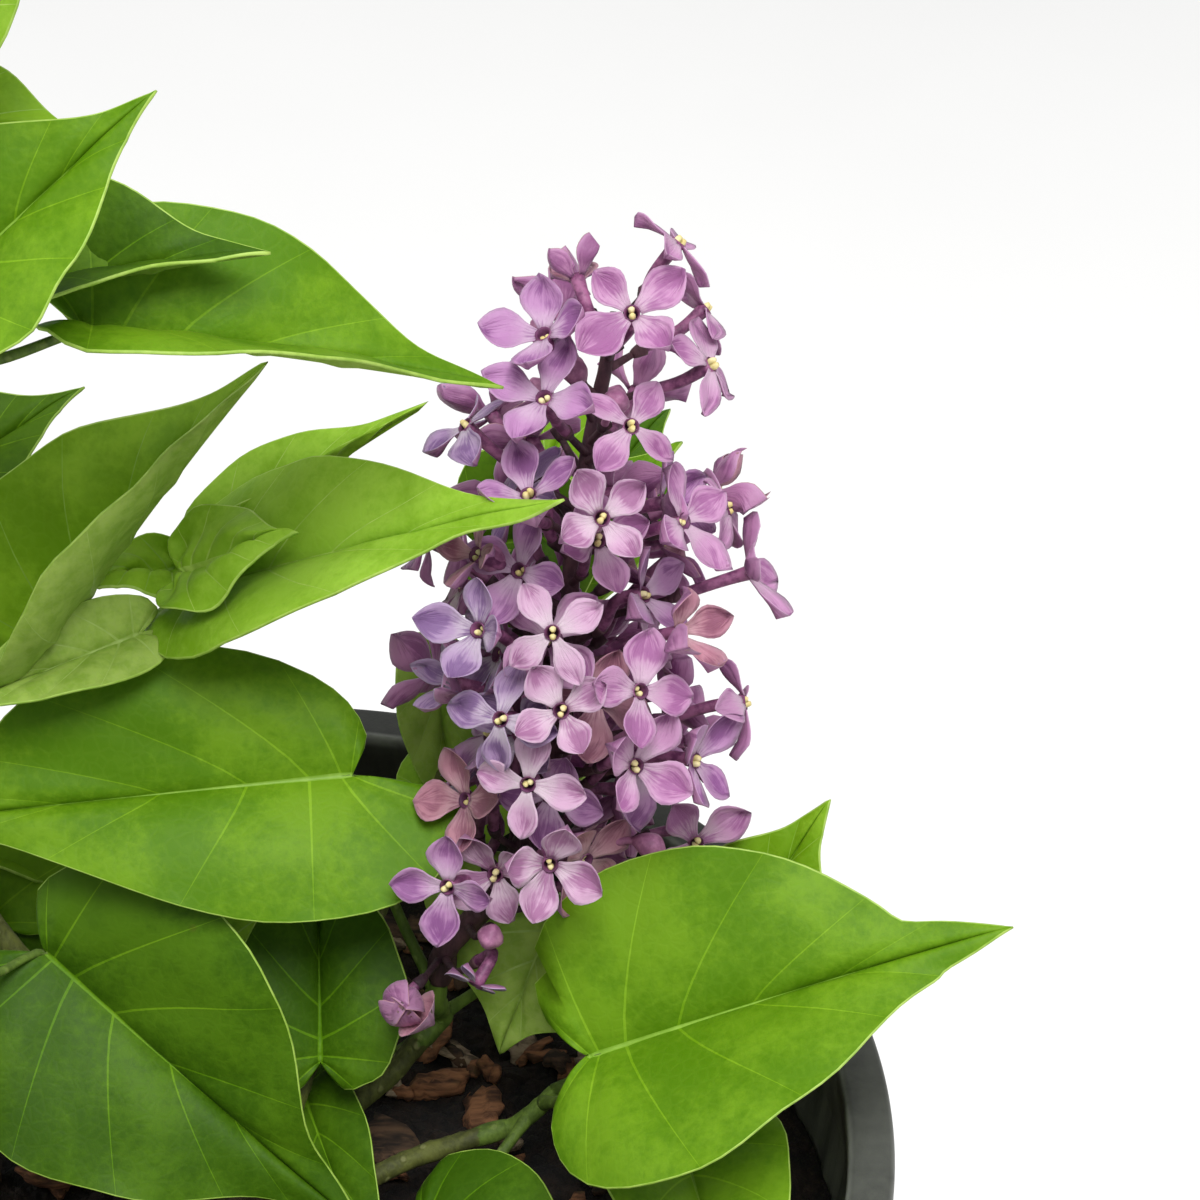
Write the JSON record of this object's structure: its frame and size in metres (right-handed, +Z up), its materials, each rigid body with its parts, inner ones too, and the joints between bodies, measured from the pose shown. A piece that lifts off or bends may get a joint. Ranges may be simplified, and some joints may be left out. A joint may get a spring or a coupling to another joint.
{
  "type": "potted lilac bush",
  "caption": "Young flowering lilac in a round black nursery pot: forked stem, heart-shaped leaves in pairs and upright heads of small four-petalled flowers.",
  "frame": {"origin": "centre of the pot's flat underside", "axes": "+Z up; seen from the plant's front, which faces -Y, +X is to the right"},
  "size_m": [0.1893, 0.1857, 0.344],
  "materials": {
    "pot": "black moulded plastic with a dusty grey lip",
    "potting_mix": "rough moist bark flakes",
    "bark": "green-brown young bark with pale pores",
    "foliage": "smooth bright-green leaf with pale veins and a thin pale margin",
    "blossom": "satin lilac petals with a dark purple throat"
  },
  "bodies": {
    "root": {"pot": "pot", "soil": "potting_mix", "trunk": "bark", "bough_left": "bark", "bough_middle": "bark", "bough_flower": "bark", "bough_right": "bark", "bough_front": "bark", "bough_back": "bark", "bough_far_left": "bark", "bough_low_back": "bark", "bough_near": "bark", "bough_near_right": "bark", "leaves_left": "foliage", "leaves_middle": "foliage", "leaves_flower": "foliage", "leaves_right": "foliage", "leaves_front": "foliage", "leaves_back": "foliage", "leaves_far_left": "foliage", "leaves_low_back": "foliage", "leaves_near": "foliage", "leaves_near_right": "foliage", "flowers_flower": "blossom", "flowers_front": "blossom", "flowers_far_left": "blossom"}
  },
  "joints": []
}
